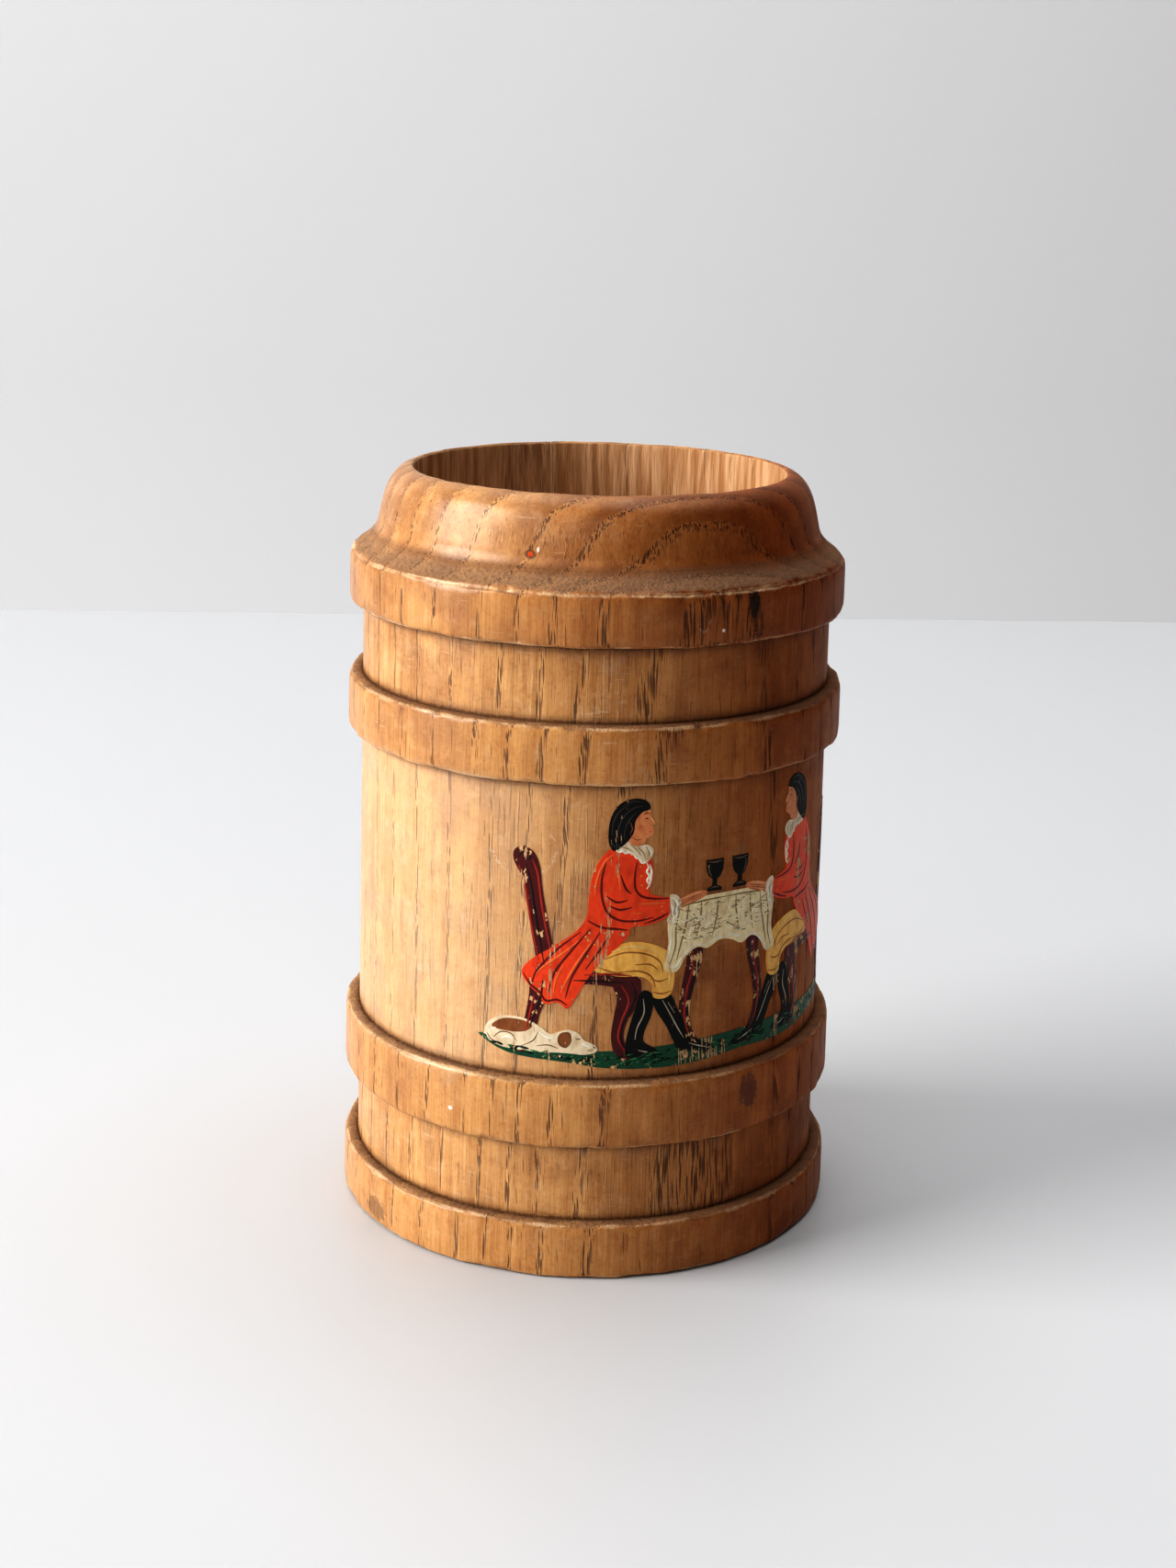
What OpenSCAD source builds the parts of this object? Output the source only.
// Turned wooden pen cup in the shape of a small barrel, with a painted picture on its wall.
// +Z is up, the origin is the centre of the foot, and the picture's middle faces -Y.
// Millimetres throughout.

/* [Body] */
// Height from the table to the top of the lip
body_h = 131.6; // [130:0.1:134]
// Radius of the plain wall, measured at the foot
foot_wall_r = 41.9; // [41:0.1:44]
// How much the wall's radius shrinks for each millimetre of height
draft = 0.012; // [0:0.001:0.015]
// How far each band stands out from the wall
band_proud = 2.4; // [1.5:0.1:3]
// Rounding on the bands' edges
band_round = 0.7; // [0.3:0.1:1]

/* [Bands] */
// Top of the foot band
foot_band_top = 9.8; // [9:0.1:11]
// Bottom of the lower band
lower_band_z = 23.5; // [20:0.1:25]
// Height of the lower band
lower_band_h = 11.7; // [8:0.1:12]
// Bottom of the upper band
upper_band_z = 86.1; // [85:0.1:88]
// Height of the upper band
upper_band_h = 9.9; // [8:0.1:12]
// Bottom of the shoulder band
shoulder_band_z = 108.5; // [107:0.1:109]
// Height of the shoulder band
shoulder_band_h = 9; // [8:0.1:9.5]

/* [Well] */
// Radius of the well that the pens stand in
well_r = 32.1; // [28:0.1:32.5]
// Radius of the rebate that the floor disc is glued into
rebate_r = 35.5; // [34:0.1:37]
// Depth of the rebate, which is also the height of the well's floor
rebate_depth = 9; // [6:0.1:10]
// Gap round the floor disc, which the glue fills
glue_gap = 0.05; // [0.02:0.01:0.1]
// How far the floor disc sits above the table
floor_lift = 0.6; // [0.2:0.1:1]

/* [Picture] */
// Thickness of the dried paint
paint_t = 0.1; // [0.08:0.01:0.15]
// Where the right-hand sitter's mirror line stands, measured round the wall
mirror_s = 2; // [1.5:0.1:2.5]

/* [Hidden] */
$fn = 96;

// Wall and band radii at a height
function wall_r(z) = foot_wall_r - draft * z;
function band_r(z) = wall_r(z) + band_proud;

// Points on an arc about a centre, from one angle to another
arc_steps = 5;
function arc(centre, r, from, to) = [
    for (i = [0:arc_steps])
        let (a = from + (to - from) * i / arc_steps)
            centre + r * [cos(a), sin(a)]
];

// Points on a cubic Bezier curve, ends included
curve_steps = 12;
function bezier(a, b, c, d) = [
    for (i = [0:curve_steps])
        let (t = i / curve_steps, u = 1 - t)
            u * u * u * a + 3 * u * u * t * b + 3 * u * t * t * c + t * t * t * d
];

// One band's outline from its lower inside corner to its upper inside corner
function band(z0, z1) = concat(
    [[wall_r(z0), z0]],
    arc([band_r(z0) - band_round, z0 + band_round], band_round, -90, 0),
    arc([band_r(z1) - band_round, z1 - band_round], band_round, 0, 90),
    [[wall_r(z1), z1]]
);

// The shoulder band's top runs into a cove, and the cove into a swelling neck and a thin lip
shoulder_top = shoulder_band_z + shoulder_band_h;
cove_rise = 4.8;
neck_r = 38.1;
lip_r = well_r + 0.5;
lip_round = 0.5;
foot_chamfer = 0.4;
function neck() = let (top = shoulder_top, r = band_r(shoulder_top)) concat(
    arc([r - band_round, top - band_round], band_round, 0, 60),
    bezier([r - 0.4, top + 0.1], [r - 2.4, top + 1.1], [neck_r + 0.5, top + 2.8],
        [neck_r, top + cove_rise]),
    bezier([neck_r - 0.02, top + cove_rise + 0.2], [neck_r - 0.9, top + 9], [lip_r + 4, body_h - 1],
        [lip_r, body_h]),
    arc([lip_r, body_h - lip_round], lip_round, 100, 180)
);

function body_outline() = concat(
    [
        [rebate_r, 0],
        [band_r(0) - foot_chamfer, 0],
        [band_r(0), foot_chamfer]
    ],
    arc([band_r(foot_band_top) - band_round, foot_band_top - band_round], band_round, 0, 90),
    [[wall_r(foot_band_top), foot_band_top]],
    band(lower_band_z, lower_band_z + lower_band_h),
    band(upper_band_z, upper_band_z + upper_band_h),
    [[wall_r(shoulder_band_z), shoulder_band_z]],
    arc([band_r(shoulder_band_z) - band_round, shoulder_band_z + band_round], band_round, -90, 0),
    neck(),
    [
        [well_r, rebate_depth],
        [rebate_r, rebate_depth]
    ]
);

// The cup itself: one block, turned outside and bored right through
module turned_body() {
    color("peru") rotate_extrude() polygon(body_outline());
}

// The disc that closes the well, glued into the rebate under it
disc_chamfer = 0.5;
module floor_disc() {
    disc_r = rebate_r - glue_gap;
    color("burlywood") rotate_extrude() polygon([
        [0, floor_lift],
        [disc_r - disc_chamfer, floor_lift],
        [disc_r, floor_lift + disc_chamfer],
        [disc_r, rebate_depth],
        [0, rebate_depth]
    ]);
}

// The picture is drawn on the unrolled wall: s runs round it to the right, z is height.
// A closed outline's corners are rounded by a Catmull-Rom curve through its points.
smooth_steps = 4;
function spline(p0, p1, p2, p3, t) = 0.5 * (
    2 * p1 + (p2 - p0) * t + (2 * p0 - 5 * p1 + 4 * p2 - p3) * t * t
    + (3 * p1 - p0 - 3 * p2 + p3) * t * t * t
);
function smooth(pts) = let (n = len(pts)) [
    for (i = [0:n - 1], k = [0:smooth_steps - 1])
        spline(pts[(i + n - 1) % n], pts[i], pts[(i + 1) % n], pts[(i + 2) % n], k / smooth_steps)
];

// The right-hand sitter is the left-hand one seen in a mirror
function side(pts, right) = right ? [for (p = pts) [2 * mirror_s - p.x, p.y]] : pts;
function side_s(s, right) = right ? 2 * mirror_s - s : s;

picture_z = 60;
picture_r = wall_r(picture_z);
function degrees_round(s) = s / picture_r * 180 / PI;

// A flat outline that lands on its true place when it is pushed through the wall from azimuth s
module patch(pts, s) {
    polygon([for (p = pts) [picture_r * sin(degrees_round(p.x - s)), p.y]]);
}

// The skin of paint on the wall, cut to the flat shape given
module film(s) {
    z0 = lower_band_z + lower_band_h;
    h = upper_band_z - z0;
    intersection() {
        translate([0, 0, z0]) difference() {
            cylinder(r1 = wall_r(z0) + paint_t, r2 = wall_r(z0 + h) + paint_t, h = h);
            cylinder(r1 = wall_r(z0), r2 = wall_r(z0 + h), h = h);
        }
        rotate([0, 0, degrees_round(s)]) rotate([90, 0, 0])
            linear_extrude(2 * picture_r) children();
    }
}

// Outlines of the left-hand sitter, looking right
hair_pts = [
    [-19.2, 76.0], [-19.4, 78.0], [-19.0, 80.6], [-17.6, 82.8], [-15.2, 83.7], [-13.2, 83.2],
    [-12.6, 81.9], [-13.9, 81.4], [-15.0, 80.0], [-15.2, 78.2], [-15.9, 76.9], [-17.2, 75.6],
    [-18.4, 74.9]
];
face_pts = [
    [-13.4, 82.6], [-12.6, 81.9], [-12.5, 80.7], [-11.6, 79.5], [-12.1, 79.1], [-11.9, 78.5],
    [-12.1, 77.5], [-13.1, 76.9], [-13.7, 76.0], [-15.8, 75.6], [-16.8, 77.2], [-16.4, 80.2],
    [-15.2, 82.2]
];
collar_pts = [
    [-18.3, 76.1], [-16.6, 76.7], [-15.0, 75.7], [-13.0, 75.9], [-11.9, 75.0], [-12.2, 73.6],
    [-13.5, 72.7], [-14.6, 73.9], [-16.4, 74.6], [-17.9, 74.9]
];
coat_pts = [
    [-18.0, 75.4], [-20.0, 74.2], [-21.7, 71.2], [-22.3, 67.0], [-22.7, 63.4], [-24.8, 60.6],
    [-28.2, 58.2], [-31.6, 55.8], [-33.3, 53.4], [-31.8, 51.0], [-30.4, 49.9], [-29.2, 48.2],
    [-27.0, 48.6], [-25.4, 47.6], [-23.8, 50.2], [-22.2, 53.0], [-20.0, 56.0], [-17.2, 58.6],
    [-15.7, 60.4], [-15.2, 61.8], [-12.6, 62.1], [-10.0, 62.9], [-8.4, 64.0], [-8.4, 66.3],
    [-10.4, 66.9], [-12.3, 67.7], [-11.8, 70.2], [-12.0, 72.8], [-13.2, 74.6]
];
breeches_pts = [
    [-21.4, 54.6], [-19.4, 57.8], [-15.4, 59.3], [-11.4, 58.7], [-8.6, 57.0], [-7.6, 54.0],
    [-7.9, 50.4], [-9.2, 49.2], [-11.2, 49.5], [-11.6, 51.8], [-13.4, 53.2], [-17.4, 53.4]
];
near_boot_pts = [
    [-11.3, 50.0], [-8.3, 49.8], [-6.9, 47.2], [-5.2, 44.0], [-4.4, 42.2], [-2.0, 40.6],
    [0.2, 39.5], [-0.6, 38.8], [-3.8, 39.2], [-6.4, 39.6], [-7.6, 41.8], [-8.9, 44.4],
    [-10.8, 47.4]
];
far_boot_pts = [
    [-13.2, 50.6], [-11.2, 49.8], [-11.4, 46.6], [-12.6, 43.4], [-12.5, 41.6], [-10.2, 40.1],
    [-10.4, 39.1], [-13.4, 38.9], [-15.6, 39.3], [-15.7, 41.6], [-15.2, 44.2], [-14.4, 47.0]
];
hands_pts = [
    [-7.6, 65.9], [-5.4, 66.9], [-3.2, 67.3], [-1.9, 66.9], [-2.6, 66.1], [-4.6, 65.4],
    [-7.2, 64.5]
];
cuffs_pts = [
    [-8.8, 67.0], [-7.4, 66.8], [-6.7, 65.4], [-7.2, 63.4], [-8.0, 61.8], [-9.2, 62.6],
    [-8.6, 64.4]
];

// The left-hand chair: a tall splat back, a seat rail, and two bowed legs
chair_back_pts = [
    [-30.2, 54.0], [-31.2, 58.0], [-32.0, 62.0], [-32.8, 66.4], [-33.6, 70.0], [-34.9, 72.4],
    [-34.9, 74.2], [-33.4, 75.0], [-31.6, 74.2], [-30.5, 71.8], [-30.0, 68.0], [-29.2, 63.6],
    [-28.2, 59.0], [-27.2, 54.4]
];
chair_seat_pts = [
    [-31.8, 54.9], [-24.0, 55.4], [-15.4, 55.2], [-13.6, 54.2], [-13.9, 52.2], [-15.6, 51.2],
    [-20.0, 51.9], [-26.0, 52.0], [-31.4, 51.4], [-32.4, 53.2]
];
back_leg_pts = [
    [-31.6, 53.2], [-28.2, 53.0], [-28.8, 49.6], [-30.0, 46.4], [-30.7, 43.2], [-31.4, 40.6],
    [-32.9, 39.3], [-34.2, 39.9], [-33.4, 42.4], [-32.5, 46.0], [-31.9, 49.8]
];
front_leg_pts = [
    [-18.2, 53.0], [-14.0, 53.4], [-13.2, 50.8], [-14.0, 48.0], [-15.6, 45.0], [-15.9, 42.2],
    [-14.7, 40.4], [-14.4, 39.1], [-16.4, 38.7], [-17.6, 40.2], [-18.1, 43.0], [-17.7, 46.4],
    [-17.3, 49.6]
];

cloth_pts = [
    [-8.0, 65.8], [-2.0, 66.3], [5.0, 66.3], [12.0, 65.8], [13.0, 62.6], [12.6, 58.6],
    [13.5, 54.8], [11.3, 54.2], [9.7, 56.6], [7.6, 57.7], [5.4, 56.8], [3.2, 57.8],
    [0.8, 58.2], [-1.6, 57.1], [-3.6, 57.5], [-5.6, 56.3], [-7.2, 53.7], [-9.5, 54.3],
    [-8.8, 58.4], [-9.0, 62.2]
];
table_leg_pts = [
    [-5.2, 59.0], [-2.8, 59.0], [-2.6, 55.4], [-3.6, 52.0], [-4.6, 48.0], [-4.6, 44.6],
    [-3.6, 42.0], [-2.0, 40.2], [-1.9, 39.2], [-3.6, 38.9], [-5.4, 40.4], [-6.4, 43.6],
    [-6.6, 48.0], [-5.9, 52.4], [-5.4, 55.8]
];
goblet_foot_s = [-0.6, 4.6];
goblet_z = 66.9;
goblet_side = [[0, 0], [1.5, 0], [1.3, 0.5], [0.45, 0.9], [0.4, 2], [1.1, 2.6], [1.6, 3.6], [1.7, 5.4]];

hound_pts = [
    [-39.6, 41.0], [-39.3, 43.4], [-36.8, 45.2], [-33.0, 45.4], [-30.2, 44.3], [-28.2, 43.0],
    [-26.6, 43.5], [-25.0, 43.9], [-23.4, 43.3], [-22.4, 42.1], [-20.6, 41.3], [-20.4, 40.2],
    [-22.4, 39.6], [-26.0, 39.8], [-31.0, 39.6], [-36.6, 39.8]
];
hound_saddle_pts = [
    [-38.4, 43.2], [-36.4, 44.8], [-33.2, 45.0], [-31.2, 44.2], [-32.6, 43.0], [-35.6, 42.7]
];
hound_ear_pts = [
    [-26.3, 43.3], [-24.9, 43.4], [-24.6, 42.0], [-25.4, 40.7], [-26.6, 41.1], [-26.9, 42.3]
];
ground_pts = [
    [-41.5, 41.6], [-38.0, 41.2], [-30.0, 40.6], [-20.0, 40.2], [-8.0, 40.8], [4.0, 41.4],
    [16.0, 41.6], [30.0, 41.8], [40.0, 42.6], [43.6, 41.6], [40.0, 39.4], [28.0, 38.6],
    [16.0, 37.6], [6.0, 38.0], [-6.0, 37.0], [-18.0, 37.2], [-26.0, 38.2], [-36.0, 39.0]
];

// Flat shapes, each as a whole; what lies behind is cut away where a film is laid
module hair(right, s) { patch(smooth(side(hair_pts, right)), s); }
module face(right, s) { patch(smooth(side(face_pts, right)), s); }
module collar(right, s) { patch(smooth(side(collar_pts, right)), s); }
module coat(right, s) { patch(smooth(side(coat_pts, right)), s); }
module breeches(right, s) { patch(smooth(side(breeches_pts, right)), s); }
module hands(right, s) { patch(smooth(side(hands_pts, right)), s); }
module cuffs(right, s) { patch(smooth(side(cuffs_pts, right)), s); }
module boots(right, s) {
    patch(smooth(side(near_boot_pts, right)), s);
    patch(smooth(side(far_boot_pts, right)), s);
}
module chair(right, s) {
    patch(smooth(side(chair_back_pts, right)), s);
    patch(smooth(side(chair_seat_pts, right)), s);
    patch(smooth(side(back_leg_pts, right)), s);
    patch(smooth(side(front_leg_pts, right)), s);
}
module cloth(s) { patch(smooth(cloth_pts), s); }
module legs(s) {
    for (right = [false, true]) patch(smooth(side(table_leg_pts, right)), s);
}
module goblet_pair(s) {
    for (foot = goblet_foot_s)
        patch([
            for (p = goblet_side) [foot + p.x, goblet_z + p.y],
            for (i = [len(goblet_side) - 1:-1:1])
                [foot - goblet_side[i].x, goblet_z + goblet_side[i].y]
        ], s);
}
module hound_body(s) { patch(smooth(hound_pts), s); }
module hound_spots(s) {
    patch(smooth(hound_saddle_pts), s);
    patch(smooth(hound_ear_pts), s);
}

// One sitter's films, each cut back by whatever is painted in front of it
head_s = -15.5;
body_s = -20;
leg_s = -10;
arm_s = -6;
chair_s = -24;
module hair_film(right) {
    s = side_s(head_s, right);
    color("black") film(s) hair(right, s);
}
module face_film(right) {
    s = side_s(head_s, right);
    color("peachpuff") film(s) difference() {
        face(right, s);
        hair(right, s);
        collar(right, s);
    }
}
module collar_film(right) {
    s = side_s(head_s, right);
    color("ivory") film(s) difference() {
        collar(right, s);
        hair(right, s);
    }
}
module coat_film(right) {
    s = side_s(body_s, right);
    color("orangered") film(s) difference() {
        coat(right, s);
        hair(right, s);
        collar(right, s);
        cuffs(right, s);
    }
}
module cuffs_film(right) {
    s = side_s(arm_s, right);
    color("ivory") film(s) cuffs(right, s);
}
module hands_film(right) {
    s = side_s(arm_s, right);
    color("peachpuff") film(s) difference() {
        hands(right, s);
        cuffs(right, s);
    }
}
module breeches_film(right) {
    s = side_s(leg_s, right);
    color("goldenrod") film(s) difference() {
        breeches(right, s);
        coat(right, s);
        cloth(s);
    }
}
module boots_film(right) {
    s = side_s(leg_s, right);
    color("black") film(s) difference() {
        boots(right, s);
        breeches(right, s);
        cloth(s);
    }
}
module chair_film(right) {
    s = side_s(chair_s, right);
    color("maroon") film(s) difference() {
        chair(right, s);
        coat(right, s);
        breeches(right, s);
        boots(right, s);
        if (!right) hound_body(s);
    }
}

// What the two sitters share
module tablecloth() {
    s = mirror_s;
    color("beige") film(s) difference() {
        cloth(s);
        for (right = [false, true]) {
            hands(right, s);
            cuffs(right, s);
            coat(right, s);
        }
    }
}
module table_legs() {
    s = mirror_s;
    color("maroon") film(s) difference() {
        legs(s);
        cloth(s);
        for (right = [false, true]) boots(right, s);
    }
}
module goblets() {
    s = mirror_s;
    color("black") film(s) difference() {
        goblet_pair(s);
        for (right = [false, true]) hands(right, s);
    }
}
hound_s = -31;
module hound() {
    color("ivory") film(hound_s) difference() {
        hound_body(hound_s);
        hound_spots(hound_s);
    }
}
module hound_patches() {
    color("sienna") film(hound_s) hound_spots(hound_s);
}
module ground() {
    s = 1;
    color("darkgreen") film(s) difference() {
        patch(smooth(ground_pts), s);
        hound_body(s);
        hound_spots(s);
        legs(s);
        for (right = [false, true]) {
            boots(right, s);
            chair(right, s);
        }
    }
}

turned_body();
floor_disc();
chair_film(false);  // left_chair
coat_film(false);  // left_coat
breeches_film(false);  // left_breeches
boots_film(false);  // left_boots
hands_film(false);  // left_hands
cuffs_film(false);  // left_cuffs
collar_film(false);  // left_collar
hair_film(false);  // left_hair
face_film(false);  // left_face
chair_film(true);  // right_chair
coat_film(true);  // right_coat
breeches_film(true);  // right_breeches
boots_film(true);  // right_boots
hands_film(true);  // right_hands
cuffs_film(true);  // right_cuffs
collar_film(true);  // right_collar
hair_film(true);  // right_hair
face_film(true);  // right_face
tablecloth();
table_legs();
goblets();
hound();
hound_patches();
ground();
